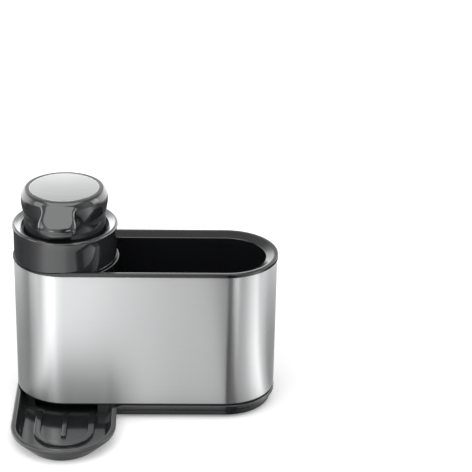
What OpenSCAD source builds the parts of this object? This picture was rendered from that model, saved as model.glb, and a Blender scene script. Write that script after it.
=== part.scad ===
// Soap pump caddy: a steel-sleeved caddy with a sponge compartment and a lift-out soap bottle,
// standing on a base whose front lobe is a drip tray under the pump's nose.
// Z = 0 is the plane the feet stand on. X runs along the caddy and -Y is the front.

/* [Steel sleeve] */
// Length of the sleeve, end to end
sleeve_len = 205; // [195:1:230]
// Depth of the sleeve, front to back
sleeve_depth = 80.2; // [78:0.2:88]
// Height of the sleeve
sleeve_h = 110.5; // [105:0.5:130]
// Thickness of the steel sheet
sleeve_t = 0.6; // [0.4:0.1:0.8]

/* [Base and drip tray] */
// Height of the base from its underside to its rim
base_h = 11.5; // [10:0.5:14]
// Thickness of the base floor
base_floor_t = 1.8; // [1.4:0.1:2.4]
// Width of the base rim's top face
base_rim_w = 3.8; // [3:0.1:4.5]
// How far the base wall leans in from its rim to its underside
base_lean = 8.6; // [6:0.2:9]
// How far the inside of the wall leans in
base_inner_lean = 4.6; // [3:0.2:5]
// How far the base rim stands out past the steel
base_out = 0.3; // [0.2:0.05:0.6]
// Distance from the pump's axis to the centre of the tray's round front
tray_reach = 68; // [62:0.5:76]
// Radius of the inside corner where the tray meets the front wall
tray_corner_r = 5; // [3:0.5:7]
// Height of the wall inside the base that carries the caddy
upstand_h = 13.6; // [12.5:0.1:15]
// Thickness of that wall
upstand_t = 2; // [1.6:0.1:2.4]
// Upstand's gap beside the horseshoe rib
upstand_side = 1.4; // [1:0.1:2]

/* [Drip tray ribs] */
// Horseshoe rib in from the tray floor's edge
shoe_in = 8.4; // [7:0.2:11]
// Width of the horseshoe rib
shoe_w = 5.8; // [4:0.2:7]
// Height of the ribs above the tray floor
shoe_h = 2.2; // [1.4:0.1:3]
// How far the horseshoe's centre lies behind the centre of the tray's round front
shoe_back = 4.3; // [2:0.1:6]
// Width of the middle rib
spine_w = 5; // [4:0.2:6]
// Distance from the middle rib's front end to the centre of the tray's round front
spine_front = 5; // [3:0.5:7]

/* [Feet] */
// Radius of a foot pad
foot_r = 6; // [4.5:0.5:7]
// Thickness of a foot pad
foot_t = 1.6; // [1.2:0.1:1.8]
// How far a pad stands out under the base
foot_h = 0.8; // [0.6:0.1:1]
// Corner pads beyond the middle of each end
foot_end = 10; // [6:0.5:12]
// Corner pads in from the underside's edge
foot_side = 8.8; // [7:0.2:12]
// How far the front pad lies ahead of the centre of the tray's round front
foot_front = 16; // [10:0.5:20]

/* [Caddy insert] */
// Gap between the base rim and the lower edge of the steel
seat_gap = 1.9; // [1.4:0.1:2.4]
// Height of the insert's rim above the steel
rim_h = 3.1; // [2.6:0.1:4]
// How far the rim stands out past the steel
rim_out = 0.7; // [0.5:0.05:0.9]
// Width of the sloped rim, from its outer edge to the mouth of the compartment
rim_w = 9.6; // [8:0.1:11]
// How far the rim drops towards the mouth
rim_drop = 3.7; // [2.5:0.1:4.5]
// Thickness of the rim
rim_t = 2.2; // [1.8:0.1:2.6]
// Rounding of the rim's outer edge
rim_round = 0.7; // [0.4:0.1:1]
// Height of the low lip round the bottle
lip_h = 1; // [0.6:0.1:1.6]
// Length of the ramp from the low lip to the full rim
ramp_len = 23; // [15:1:30]
// How far past the bottle's axis the ramp ends
ramp_end = 2; // [0:0.5:8]
// Thickness of the compartment's wall
tub_wall = 2; // [1.6:0.1:2.4]
// Draft of the compartment's wall, top to bottom
tub_draft = 1; // [0.5:0.1:1.5]
// Thickness of the insert's floor
tub_floor_t = 2; // [1.6:0.1:2.6]
// Thickness of the wall round the bottle well
well_wall = 1.6; // [1.2:0.1:1.9]
// Gap between the well's wall and the steel
well_gap = 0.9; // [0.6:0.1:1.2]
// Width of the step round the bottle on the compartment's side
step_w = 2.9; // [2:0.1:4]
// Thickness of that step
step_t = 2; // [1.6:0.1:2.4]
// How far that step lies below the lip
step_drop = 1.5; // [1:0.1:2]
// Height of the rib that locates the top of the steel
rib_h = 5; // [3:0.5:8]
// Thickness of that rib
rib_t = 1.5; // [1.2:0.1:2]
// Width of a drain slot
drain_w = 4; // [3:0.5:5]
// Length of a drain slot
drain_len = 24; // [16:1:30]
// Spacing of the drain slots
drain_pitch = 11; // [9:0.5:14]
// Number of drain slots
drain_count = 5; // [3:1:6]
// Radius of the drain hole in the bottle well
well_drain_r = 4; // [3:0.5:6]

/* [Sleeve ring] */
// Thickness of the lip under the steel's lower edge
ring_lip_t = 1; // [0.8:0.1:1.2]
// How far that lip stays inside the steel's face
ring_lip_in = 0.3; // [0.1:0.1:0.5]
// Height of the ring's skirt inside the steel
ring_skirt_h = 8; // [6:0.5:12]
// Thickness of the ring's skirt
ring_skirt_t = 1.8; // [1.4:0.1:2]
// Thickness of the ring's web
ring_web_t = 2; // [1.8:0.1:2.6]
// Width of the ring's web
ring_web_w = 8; // [7:0.2:9]

/* [Screws] */
// Radius of a screw's shank
screw_r = 1.4; // [1.2:0.05:1.5]
// Radius of a screw's head
screw_head_r = 2.5; // [2.2:0.1:2.8]
// Thickness of a screw's countersunk head
screw_head_t = 1.2; // [1:0.1:1.5]
// Length of a screw
screw_len = 10; // [8:0.5:13]
// Radius of a screw boss
boss_r = 3.1; // [2.8:0.1:3.2]
// Height of a screw boss
boss_h = 12; // [11:0.5:16]
// How far a boss sinks into the compartment's wall
boss_sink = 0.8; // [0.6:0.1:1.2]
// Distance from the well to the nearer screws
screw_near = 12; // [8:0.5:20]
// Far screws before the middle of the right end
screw_far = 4; // [2:0.5:12]

/* [Soap bottle] */
// How far the bottle's head stays inside the steel's face
band_in = 0.3; // [0.2:0.05:0.6]
// Height of the bottle's head above the caddy
band_h = 24.8; // [22:0.2:30]
// Height of the flare at the bottle's top
flare_h = 6; // [4:0.5:8]
// How far the flare leans out
flare_out = 0.9; // [0.5:0.1:1.2]
// Thickness of the bottle's wall
bottle_wall = 2; // [1.6:0.1:2.4]
// Thickness of the wall in the bottle's head
band_wall = 2.6; // [2.2:0.1:3]
// Thickness of the bottle's floor
bottle_floor_t = 2; // [1.6:0.1:2.6]
// Rounding of the bottle's lower edge
bottle_round = 5; // [3:0.5:7]
// Height of the hollow under the bottle
bottle_push_up = 1.2; // [0.8:0.1:1.6]
// Width of the ring that the bottle stands on
bottle_stand_w = 6; // [4:0.5:8]

/* [Pump lid] */
// Thickness of the lid's rim
lid_rim_t = 2; // [1.6:0.1:2.6]
// How far the lid's rim stands out past the bottle's head
lid_out = 1.1; // [1:0.1:1.5]
// Width of the lid's dished rim
lid_rim_w = 7.1; // [7:0.1:7.6]
// How far the lid's dish drops to the opening
dish_drop = 1; // [0.6:0.1:1.6]
// Depth of the well that the head sinks into
lid_well_h = 12.3; // [11.8:0.1:13.5]
// Thickness of the lid's walls
lid_wall = 1.6; // [1.3:0.1:1.8]
// Height of the plug that fits the bottle's mouth
plug_h = 9; // [8:0.5:10]
// Radius of the seal's cord
seal_cord_r = 0.9; // [0.7:0.05:1]
// Height of the snap boss round the barrel's flange
lid_boss_h = 1.8; // [1.6:0.1:2]

/* [Pump barrel] */
// Radius of the barrel's bore
bore_r = 6; // [5.5:0.1:6.5]
// Thickness of the barrel's wall
barrel_wall = 1.4; // [1.2:0.1:1.6]
// Length of the barrel under the lid's floor
barrel_len = 33.5; // [32:0.5:38]
// Radius of the barrel's flange
barrel_flange_r = 11; // [10.5:0.1:12]
// Thickness of the barrel's flange
barrel_flange_t = 1.2; // [1:0.1:1.6]
// Thickness of the washer under the flange
washer_t = 0.6; // [0.5:0.1:0.8]
// Radius of the valve chamber under the bore
chamber_r = 3.4; // [3.2:0.1:3.6]
// Height of the valve chamber
chamber_h = 4.5; // [4.3:0.1:5]
// Radius of the inlet hole
inlet_r = 1.6; // [1.3:0.1:1.7]
// Length of the inlet hole under the valve's seat
inlet_h = 1.7; // [1.5:0.1:2.5]
// Length of the socket for the dip tube
socket_h = 8; // [6:0.5:10]
// Thickness of the socket's wall
socket_wall = 1.5; // [1.2:0.1:1.8]
// Outer radius of the dip tube
tube_r = 3; // [2.6:0.1:3.2]
// Thickness of the dip tube's wall
tube_wall = 0.9; // [0.7:0.1:1.1]
// Gap between the dip tube and the bottle's floor
tube_gap = 2.5; // [2:0.1:4]
// Thickness of the ball cage
cage_t = 3; // [2.4:0.1:3.6]
// Radius of the cage's hole
cage_hole_r = 1.8; // [1.5:0.1:2]
// Radius of the inlet valve's ball
inlet_ball_r = 2.5; // [2.4:0.05:2.6]

/* [Plunger] */
// Travel of the pump head
stroke = 6.5; // [5:0.1:6.7]
// Radius of the stem
stem_r = 3.6; // [3.4:0.1:3.7]
// Radius of the stem's channel
stem_bore_r = 1.6; // [1.4:0.1:1.8]
// Radius of the chamber at the stem's top
stem_chamber_r = 2.7; // [2.6:0.05:2.8]
// Height of the chamber at the stem's top
stem_chamber_h = 4.5; // [4.2:0.1:5]
// Radius of the shoulder that carries the head
shoulder_r = 5.2; // [4.8:0.1:5.6]
// Thickness of that shoulder
shoulder_t = 1.6; // [1.4:0.1:2]
// Height of the stem above its shoulder
stem_top_h = 7.4; // [7:0.1:8]
// Height of the piston seal
seal_h = 4.5; // [4:0.1:5]
// Thickness of the stem's end flange
stem_flange_t = 1; // [0.8:0.1:1.4]
// Radius of the stem's end flange
stem_flange_r = 5.2; // [5:0.1:5.4]
// Radius of the outlet valve's ball
outlet_ball_r = 2.2; // [2.1:0.05:2.3]
// Radius of the spring, to the middle of its wire
spring_r = 4.6; // [4.4:0.1:4.9]
// Radius of the spring's wire
spring_wire_r = 0.45; // [0.35:0.05:0.5]
// Turns of the spring
spring_turns = 7; // [6:1:8]
// Thickness of the stem guide's top
guide_t = 1.5; // [1.2:0.1:1.8]
// Length of the guide's sleeve inside the barrel
guide_sleeve_h = 5.3; // [4:0.1:6]

/* [Pump head] */
// Gap between the head and the lid's opening
head_gap = 0.4; // [0.3:0.05:0.6]
// Height of the head, from its skirt to its rim
head_h = 34.1; // [32:0.1:36]
// Thickness of the head's wall
head_wall = 2; // [1.6:0.1:2.4]
// How deep the skirt hangs in the lid's opening
skirt_in = 4.3; // [4:0.1:5]
// Steel disc's edge in from the head's side
plate_in = 5.8; // [5.4:0.1:7]
// Thickness of the steel plate
plate_t = 0.8; // [0.6:0.1:1]
// How far the plate stands above the head's rim
plate_proud = 0.4; // [0.2:0.1:0.5]
// Nose beyond the head's side
nose_out = 12.9; // [12:0.1:14]
// Width of the nose at its tip
nose_w = 30; // [26:0.5:32]
// Width of the nose at its root
nose_root_w = 28; // [25:0.5:29]
// Height of the nose's front face
nose_face_h = 9; // [8.5:0.1:10]
// How far the nose's root sinks into the head
nose_sink = 1; // [0.6:0.1:1.4]
// Rounding of the nose's corners, seen from above
nose_corner_r = 3; // [1:0.5:5]
// Gap between the nose and the lid's rim, at rest
nose_gap = 7; // [6.9:0.1:9]
// How far the head is turned to the left
head_turn = 4; // [0:1:10]
// Nozzle's middle in from the nose's tip
nozzle_in = 6.3; // [6:0.1:7]
// Outer radius of the nozzle
nozzle_r = 3.3; // [3:0.1:3.5]
// Radius of the channel in the head
channel_r = 2; // [1.8:0.1:2.4]
// Thickness of the channel's wall
channel_wall = 1.3; // [1.2:0.1:1.6]
// Radius of the disc that joins the channel's socket to the head's top
core_disc_r = 11; // [8:0.5:14]

/* [Hidden] */

// Smoothness of round faces and of the blended nose
fine = 96;
blend_fine = 32;
// How far cuts run past the faces they open
over = 1;
// Clearances: between still pieces, between lifting pieces, and in running fits
snug = 0.05;
fit = 0.1;
lift_clear = 0.4;
run_clear = 0.06;
valve_clear = 0.1;
seat_clear = 0.3;

// Levels above the floor
base_z = foot_h;
base_rim_z = base_z + base_h;
tray_floor_z = base_z + base_floor_t;
sleeve_z = base_rim_z + seat_gap;
sleeve_top = sleeve_z + sleeve_h;
rim_top = sleeve_top + rim_h;
lip_top = sleeve_top + lip_h;
ring_z = sleeve_z - ring_lip_t;
web_z = tray_floor_z + upstand_h;
insert_z = web_z + ring_web_t;
tub_floor_z = insert_z + tub_floor_t;
band_z = lip_top + seat_clear;
lid_z = band_z + band_h;
lid_top = lid_z + lid_rim_t;
dish_z = lid_top - dish_drop;
well_floor_z = dish_z - lid_well_h;
lid_under_z = well_floor_z - lid_wall;
flange_z = well_floor_z + washer_t;
guide_z = flange_z + barrel_flange_t;
guide_top = guide_z + guide_t;
cage_z = lid_under_z - barrel_len;
cage_top = cage_z + cage_t;
chamber_z = cage_z - chamber_h;
inlet_seat_z = chamber_z - (chamber_r - inlet_r);
socket_top = inlet_seat_z - inlet_h;
shoulder_z = guide_top + stroke + run_clear;
head_seat_z = shoulder_z + shoulder_t;
stem_top = head_seat_z + stem_top_h;
stem_chamber_z = stem_top - stem_chamber_h;
guide_end_z = guide_z - guide_sleeve_h;
piston_top = guide_end_z - seat_clear;
piston_z = piston_top - seal_h;
stem_z = piston_z - stem_flange_t;
skirt_z = dish_z - skirt_in;
head_top = skirt_z + head_h;
plate_z = head_top + plate_proud - plate_t;
nose_z = lid_top + nose_gap;
nose_lip_z = nose_z + nose_face_h;
channel_z = nose_z + head_wall + channel_r + channel_wall;

// Distances from the spine of the stadium outline
sleeve_r = sleeve_depth / 2;
sleeve_in_r = sleeve_r - sleeve_t;
base_r = sleeve_r + base_out;
rim_r = sleeve_r + rim_out;
mouth_r = rim_r - rim_w;
tub_r = mouth_r + tub_wall;
spine_half = sleeve_len / 2 - sleeve_r;
ring_skirt_r = sleeve_in_r - fit;
upstand_r = ring_skirt_r - ring_skirt_t - lift_clear;
shoe_r = base_r - base_rim_w - base_inner_lean - shoe_in;
upstand_gap = 2 * (shoe_r + upstand_side);
foot_x = spine_half + foot_end;
foot_y = base_r - base_lean - foot_r - foot_side;
web_in_r = ring_skirt_r - ring_skirt_t - ring_web_w;
screw_y = tub_r - tub_draft + boss_r - boss_sink;

// Radii about the pump's axis
well_out_r = sleeve_in_r - well_gap;
well_r = well_out_r - well_wall;
bottle_r = well_r - lift_clear;
bottle_in_r = bottle_r - bottle_wall;
band_r = sleeve_r - band_in;
band_in_r = band_r - band_wall;
plug_r = band_in_r - seat_clear;
lid_r = band_r + lid_out;
lid_open_r = lid_r - lid_rim_w;
head_r = lid_open_r - head_gap;
plate_r = head_r - plate_in;
nose_reach = head_r + nose_out;
nozzle_reach = nose_reach - nozzle_in;
barrel_r = bore_r + barrel_wall;
boss_in_r = barrel_flange_r + fit;
boss_out_r = boss_in_r + lid_wall;
socket_r = tube_r + socket_wall;
core_r = stem_r + run_clear + head_wall;

// Where the caddy and the pump stand
tray_front = tray_reach + base_r;
back_reach = max(rim_r, lid_r);
body_x = (back_reach - rim_r) / 2;
body_y = (tray_front - back_reach) / 2;
pump_x = -spine_half;

// Where the nose leaves the head, as shares of the head's radius and height
root_shares = [0.918, 0.98];
// The head's outline from its skirt to its rim, as shares of its radius and height
head_shares = [[0.955, 0], [0.949, 0.16], [0.938, 0.3], [0.941, 0.38], [0.955, 0.45], [0.979, 0.555],
               [0.996, 0.66], [1, 0.75], [0.988, 0.85], [0.959, 0.93], root_shares, [0.87, 1]];
// The nose's lip from its underside to its top edge, as shares of its front face's height
nose_shares = [[0, 0.3], [0.08, 0.14], [0.22, 0.04], [0.4, 0], [0.8, 0.02], [0.94, 0.08], [1, 0.17]];
// The spring's wire as a tube of a few sides
wire_sides = 6;
wire_steps = 20;

// Caddy-centred and pump-centred places
module at_body() {
  translate([body_x, body_y, 0]) children();
}

module at_pump() {
  at_body() translate([pump_x, 0, 0]) children();
}

module at_head() {
  at_pump() rotate([0, 0, -head_turn]) children();
}

// A solid of revolution from points of radius and height
module turned(points) {
  rotate_extrude($fn = fine) polygon(points);
}

// A ring swept round the stadium outline from points of distance and height
module stadium_ring(points) {
  for (side = [-1, 1]) {
    translate([side * spine_half, 0, 0]) rotate([0, 0, -side * 90])
      rotate_extrude(angle = 180, $fn = fine) polygon(points);
    translate([-spine_half, 0, 0]) rotate([90, 0, 90]) linear_extrude(2 * spine_half)
      scale([side, 1]) polygon(points);
  }
}

// A solid with the stadium outline, from its side's points of distance and height, upwards
module stadium_solid(side) {
  last = len(side) - 1;
  whole = concat([[0, side[0][1]]], side, [[0, side[last][1]]]);
  stadium_ring(whole);
}

// The tray's outline: the stadium, the front lobe, and the inside corner between them.
// outer is the distance of the outline that the corner's radius is counted from.
module tray_solid(side, outer) {
  last = len(side) - 1;
  whole = concat([[0, side[0][1]]], side, [[0, side[last][1]]]);
  mirrored = concat(side, [for (i = [last:-1:0]) [-side[i][0], side[i][1]]]);
  corner = [for (p = side) [tray_corner_r + outer - p[0], p[1]]];
  cut_z = corner[0][1] - over;
  cut_top = corner[last][1] + over;
  corner_cut = concat([[0, cut_z], [corner[0][0], cut_z]], corner, [[corner[last][0], cut_top], [0, cut_top]]);
  stadium_solid(side);
  translate([pump_x, -tray_reach, 0]) turned(whole);
  translate([pump_x, 0, 0]) rotate([90, 0, 0]) linear_extrude(tray_reach) polygon(mirrored);
  // The block behind the inside corner, less the round that the corner follows
  difference() {
    translate([pump_x, -outer - tray_corner_r, side[0][1]])
      cube([outer + tray_corner_r, outer + tray_corner_r, side[last][1] - side[0][1]]);
    translate([pump_x + outer + tray_corner_r, -outer - tray_corner_r, 0]) turned(corner_cut);
  }
}

module base_tray() {
  edge = rim_round;
  outer_side = [[base_r - base_lean, base_z], [base_r - edge / 2, base_rim_z - 2 * edge],
                [base_r, base_rim_z - edge], [base_r - edge / 2, base_rim_z - edge / 3],
                [base_r - edge, base_rim_z]];
  inner_r = base_r - base_rim_w;
  inner_side = [[inner_r - base_inner_lean, tray_floor_z], [inner_r - edge / 2, base_rim_z - edge],
                [inner_r, base_rim_z], [inner_r, base_rim_z + over]];
  pocket_h = foot_t - foot_h;
  color("#2c2f31") at_body() {
    difference() {
      tray_solid(outer_side, base_r);
      tray_solid(inner_side, base_r);
      foot_places() translate([0, 0, base_z - over])
        cylinder(h = over + pocket_h, r = foot_r + snug, $fn = fine);
    }
    upstand();
    tray_ribs();
  }
}

// The wall that the caddy stands on, open towards the tray
module upstand() {
  difference() {
    stadium_ring([[upstand_r - upstand_t, tray_floor_z], [upstand_r, tray_floor_z],
                  [upstand_r, web_z], [upstand_r - upstand_t, web_z]]);
    translate([pump_x - upstand_gap / 2, -sleeve_r, tray_floor_z])
      cube([upstand_gap, sleeve_r, upstand_h + over]);
  }
}

// The horseshoe rib and the middle rib on the tray's floor
module tray_ribs() {
  shoe_y = -tray_reach + shoe_back;
  shoe_in_r = shoe_r - shoe_w;
  bevel = shoe_h / 3;
  rise = tray_floor_z + shoe_h;
  section = [[shoe_in_r, tray_floor_z], [shoe_r, tray_floor_z], [shoe_r - bevel / 2, rise - bevel],
             [shoe_r - bevel, rise], [shoe_in_r + bevel, rise], [shoe_in_r + bevel / 2, rise - bevel]];
  leg = -shoe_y - upstand_r + upstand_t;
  translate([pump_x, shoe_y, 0]) {
    rotate([0, 0, 180]) rotate_extrude(angle = 180, $fn = fine) polygon(section);
    for (side = [-1, 1]) translate([0, leg, 0]) rotate([90, 0, 0]) linear_extrude(leg)
      scale([side, 1]) polygon(section);
  }
  spine_y = -tray_reach - spine_front + spine_w / 2;
  spine_len = -spine_y - upstand_r + upstand_t;
  half = spine_w / 2;
  spine = [[0, tray_floor_z], [half, tray_floor_z], [half - bevel / 2, rise - bevel], [half - bevel, rise],
           [0, rise]];
  translate([pump_x, spine_y, 0]) {
    turned(spine);
    for (side = [-1, 1]) translate([0, spine_len, 0]) rotate([90, 0, 0]) linear_extrude(spine_len)
      scale([side, 1]) polygon(spine);
  }
}

// One pad near each corner of the caddy and one under the tray's front
module foot_places() {
  for (x = [-foot_x, foot_x], y = [-foot_y, foot_y]) translate([x, y, 0]) children();
  translate([pump_x, -tray_reach - foot_front, 0]) children();
}

module rubber_feet() {
  color("#1d1e1f") at_body() foot_places() cylinder(h = foot_t, r = foot_r, $fn = fine);
}

module steel_sleeve() {
  color("#c3c6c7") at_body()
    stadium_ring([[sleeve_in_r, sleeve_z], [sleeve_r, sleeve_z], [sleeve_r, sleeve_top],
                  [sleeve_in_r, sleeve_top]]);
}

module caddy_insert() {
  rib_r = sleeve_in_r - fit;
  mouth_z = rim_top - rim_drop;
  slope = rim_drop / rim_w;
  rib_in_r = rib_r - rib_t;
  rim_section = [[mouth_r, mouth_z], [rim_r - 2 * rim_round, rim_top - rim_round / 3],
                 [rim_r - rim_round, rim_top], [rim_r - rim_round / 3, rim_top - rim_round / 3],
                 [rim_r, rim_top - rim_round], [rim_r, sleeve_top], [rib_r, sleeve_top],
                 [rib_r, sleeve_top - rib_h], [rib_in_r, sleeve_top - rib_h],
                 [rib_in_r, rim_top - rim_t - slope * (rim_r - rib_in_r)],
                 [mouth_r + tub_wall / 2, mouth_z - rim_t], [mouth_r, mouth_z - rim_t]];
  tub_side = [[tub_r - tub_draft, insert_z], [tub_r, mouth_z - rim_t]];
  hollow_side = [[mouth_r - tub_draft, tub_floor_z], [mouth_r, mouth_z - rim_t], [mouth_r, rim_top + over]];
  color("#333638") at_body() {
    difference() {
      union() {
        stadium_ring(rim_section);
        stadium_solid(tub_side);
        translate([pump_x, 0, insert_z]) cylinder(h = lip_top - insert_z, r = well_out_r, $fn = fine);
        boss_places() translate([0, 0, insert_z]) cylinder(h = boss_h, r = boss_r, $fn = fine);
      }
      // The sponge compartment, up to the well's wall
      difference() {
        stadium_solid(hollow_side);
        translate([pump_x, 0, 0]) cylinder(h = rim_top + 2 * over, r = well_out_r, $fn = fine);
        translate([pump_x, 0, lip_top - step_drop - step_t])
          cylinder(h = step_t, r = well_out_r + step_w, $fn = fine);
      }
      // The bottle well, and room for the bottle's head above the lip
      translate([pump_x, 0, tub_floor_z]) cylinder(h = rim_top, r = well_r, $fn = fine);
      translate([pump_x, 0, lip_top]) cylinder(h = rim_top, r = band_r + seat_clear, $fn = fine);
      low_rim_cut();
      drains();
      boss_places() translate([0, 0, insert_z - over])
        cylinder(h = over + screw_len, r = screw_r + snug, $fn = fine);
    }
  }
}

// The rim sinks to the low lip where it passes the bottle
module low_rim_cut() {
  high_x = pump_x + ramp_end;
  low_x = high_x - ramp_len;
  translate([0, sleeve_depth, 0]) rotate([90, 0, 0]) linear_extrude(2 * sleeve_depth)
    polygon([[-sleeve_len, lip_top], [low_x, lip_top], [high_x, rim_top + fit],
             [high_x, rim_top + over], [-sleeve_len, rim_top + over]]);
}

// Slots in the compartment's floor and a hole under the bottle
module drains() {
  middle = (pump_x + well_out_r + spine_half + mouth_r) / 2;
  deep = tub_floor_t + 2 * over;
  for (i = [0:drain_count - 1])
    translate([middle + (i - (drain_count - 1) / 2) * drain_pitch, 0, insert_z - over]) {
      translate([-drain_w / 2, -drain_len / 2, 0]) cube([drain_w, drain_len, deep]);
      for (side = [-1, 1]) translate([0, side * drain_len / 2, 0])
        cylinder(h = deep, r = drain_w / 2, $fn = fine);
    }
  translate([pump_x, 0, insert_z - over]) cylinder(h = deep, r = well_drain_r, $fn = fine);
}

// Two screws in front and two behind, in the space between the compartment and the steel
module boss_places() {
  for (x = [pump_x + well_out_r + screw_near, spine_half - screw_far], side = [-1, 1])
    translate([x, side * screw_y, 0]) children();
}

module sleeve_ring() {
  lip_r = sleeve_r - ring_lip_in;
  skirt_in_r = ring_skirt_r - ring_skirt_t;
  section = [[skirt_in_r, ring_z], [lip_r, ring_z], [lip_r, sleeve_z], [ring_skirt_r, sleeve_z],
             [ring_skirt_r, ring_z + ring_skirt_h], [skirt_in_r, ring_z + ring_skirt_h],
             [skirt_in_r, web_z + ring_web_t], [web_in_r, web_z + ring_web_t], [web_in_r, web_z],
             [skirt_in_r, web_z]];
  color("#1f2122") at_body() {
    difference() {
      stadium_ring(section);
      translate([pump_x, 0, insert_z]) cylinder(h = ring_skirt_h, r = well_out_r + fit, $fn = fine);
      boss_places() {
        translate([0, 0, insert_z]) cylinder(h = ring_skirt_h, r = boss_r + fit, $fn = fine);
        translate([0, 0, web_z - over]) cylinder(h = ring_web_t + 2 * over, r = screw_r + fit, $fn = fine);
        translate([0, 0, web_z - over])
          cylinder(h = over + screw_head_t + snug, r = screw_head_r + fit, $fn = fine);
      }
    }
  }
}

module ring_screws() {
  color("#b9bcbe") at_body() boss_places() translate([0, 0, web_z])
    turned([[0, 0], [screw_head_r, 0], [screw_head_r, screw_head_t / 3], [screw_r, screw_head_t],
            [screw_r, screw_len - screw_r], [0, screw_len]]);
}

module soap_bottle() {
  stand_r = bottle_r - bottle_round;
  hollow_r = stand_r - bottle_stand_w;
  floor_in = tub_floor_z + bottle_push_up + bottle_floor_t;
  corner = [for (a = [0:15:90])
    [stand_r + bottle_round * sin(a), tub_floor_z + bottle_round * (1 - cos(a))]];
  flare = [for (s = [0:0.2:1]) [band_r + flare_out * s * s, lid_z - flare_h * (1 - s)]];
  color("#3b3e40") at_pump() turned(concat(
    [[0, tub_floor_z + bottle_push_up], [hollow_r, tub_floor_z + bottle_push_up],
     [hollow_r + bottle_push_up, tub_floor_z]],
    corner, [[bottle_r, band_z], [band_r, band_z]], flare,
    [[band_in_r, lid_z], [band_in_r, band_z + band_wall + bottle_wall], [bottle_in_r, band_z - bottle_wall],
     [bottle_in_r, floor_in + bottle_wall], [bottle_in_r - bottle_wall, floor_in], [0, floor_in]]));
}

module pump_lid() {
  round_r = lid_rim_t / 3;
  throat_r = lid_open_r - lid_wall / 4;
  well_wall_r = throat_r + lid_wall;
  seal_z = lid_z - plug_h / 2;
  boss_top = well_floor_z + lid_boss_h;
  color("#35383a") at_pump() difference() {
    turned([[barrel_r + fit, lid_under_z], [well_wall_r, lid_under_z], [well_wall_r, lid_z - plug_h],
            [plug_r, lid_z - plug_h], [plug_r, lid_z], [lid_r - round_r, lid_z],
            [lid_r - round_r / 3, lid_z + round_r / 3], [lid_r, lid_z + round_r],
            [lid_r, lid_top - round_r], [lid_r - round_r / 3, lid_top - round_r / 3],
            [lid_r - round_r, lid_top], [lid_open_r + round_r, dish_z],
            [lid_open_r + round_r / 3, dish_z - round_r / 3], [lid_open_r, dish_z - round_r],
            [throat_r, well_floor_z], [boss_out_r, well_floor_z], [boss_out_r, boss_top],
            [boss_in_r, boss_top], [boss_in_r, well_floor_z], [barrel_r + fit, well_floor_z]]);
    // The groove for the seal
    translate([0, 0, seal_z]) rotate_extrude($fn = fine) translate([plug_r, 0])
      circle(r = seal_cord_r + snug, $fn = blend_fine);
  }
}

module lid_seal() {
  color("#8d9193") at_pump() translate([0, 0, lid_z - plug_h / 2]) rotate_extrude($fn = fine)
    intersection() {
      translate([plug_r, 0]) circle(r = seal_cord_r, $fn = blend_fine);
      translate([0, -seal_cord_r]) square([band_in_r - fit, 2 * seal_cord_r]);
    }
}

module pump_barrel() {
  color("#e4e6e6") at_pump() turned([
    [bore_r, guide_z], [barrel_flange_r, guide_z], [barrel_flange_r, flange_z], [barrel_r, flange_z],
    [barrel_r, chamber_z], [socket_r, inlet_seat_z], [socket_r, socket_top - socket_h],
    [tube_r + snug, socket_top - socket_h], [tube_r + snug, socket_top], [inlet_r, socket_top],
    [inlet_r, inlet_seat_z], [chamber_r, chamber_z], [chamber_r, cage_z], [bore_r, cage_z]]);
}

module barrel_washer() {
  color("#8d9193") at_pump() turned([[barrel_r + fit, well_floor_z], [barrel_flange_r, well_floor_z],
    [barrel_flange_r, flange_z], [barrel_r + fit, flange_z]]);
}

module stem_guide() {
  skirt_r = boss_out_r + fit;
  color("#d7dada") at_pump() turned([
    [stem_r + run_clear, guide_end_z], [bore_r - snug, guide_end_z], [bore_r - snug, guide_z],
    [skirt_r, guide_z], [skirt_r, well_floor_z + fit], [skirt_r + lid_wall, well_floor_z + fit],
    [skirt_r + lid_wall, guide_top - guide_t / 3], [skirt_r + lid_wall - guide_t / 3, guide_top],
    [stem_r + run_clear, guide_top]]);
}

module dip_tube() {
  floor_in = tub_floor_z + bottle_push_up + bottle_floor_t;
  tube_z = floor_in + tube_gap;
  color("#dfe2e2") at_pump() turned([[tube_r - tube_wall, tube_z], [tube_r, tube_z], [tube_r, socket_top],
    [tube_r - tube_wall, socket_top]]);
}

module ball_cage() {
  color("#d7dada") at_pump() turned([[cage_hole_r, cage_z], [bore_r - snug, cage_z],
    [bore_r - snug, cage_top], [cage_hole_r, cage_top]]);
}

// A ball on a seat that opens at 45 degrees from the radius of its hole
function ball_z(seat_z, hole_r, ball_r) = seat_z - hole_r + ball_r * sqrt(2) + valve_clear;

module inlet_ball() {
  color("#c9ccce") at_pump() translate([0, 0, ball_z(inlet_seat_z, inlet_r, inlet_ball_r)])
    sphere(r = inlet_ball_r, $fn = fine);
}

// Points of the wire's skin round the spring's turns
function wire_ring(turn_share, rise) = [for (k = [0:wire_sides - 1])
  let (a = 360 * spring_turns * turn_share, b = 360 * k / wire_sides, r = spring_r + spring_wire_r * cos(b))
  [r * cos(a), r * sin(a), rise * turn_share + spring_wire_r * sin(b)]];

module return_spring() {
  low = cage_top + spring_wire_r;
  rise = stem_z - spring_wire_r - low;
  count = spring_turns * wire_steps;
  points = [for (i = [0:count]) each wire_ring(i / count, rise)];
  sides = [for (i = [0:count - 1], k = [0:wire_sides - 1])
    let (a = i * wire_sides + k, b = i * wire_sides + (k + 1) % wire_sides)
    each [[a, a + wire_sides, b], [b, a + wire_sides, b + wire_sides]]];
  start = [[for (k = [0:wire_sides - 1]) k]];
  finish = [[for (k = [wire_sides - 1:-1:0]) count * wire_sides + k]];
  color("#b4b8ba") at_pump() translate([0, 0, low]) polyhedron(points, concat(sides, start, finish));
}

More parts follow.
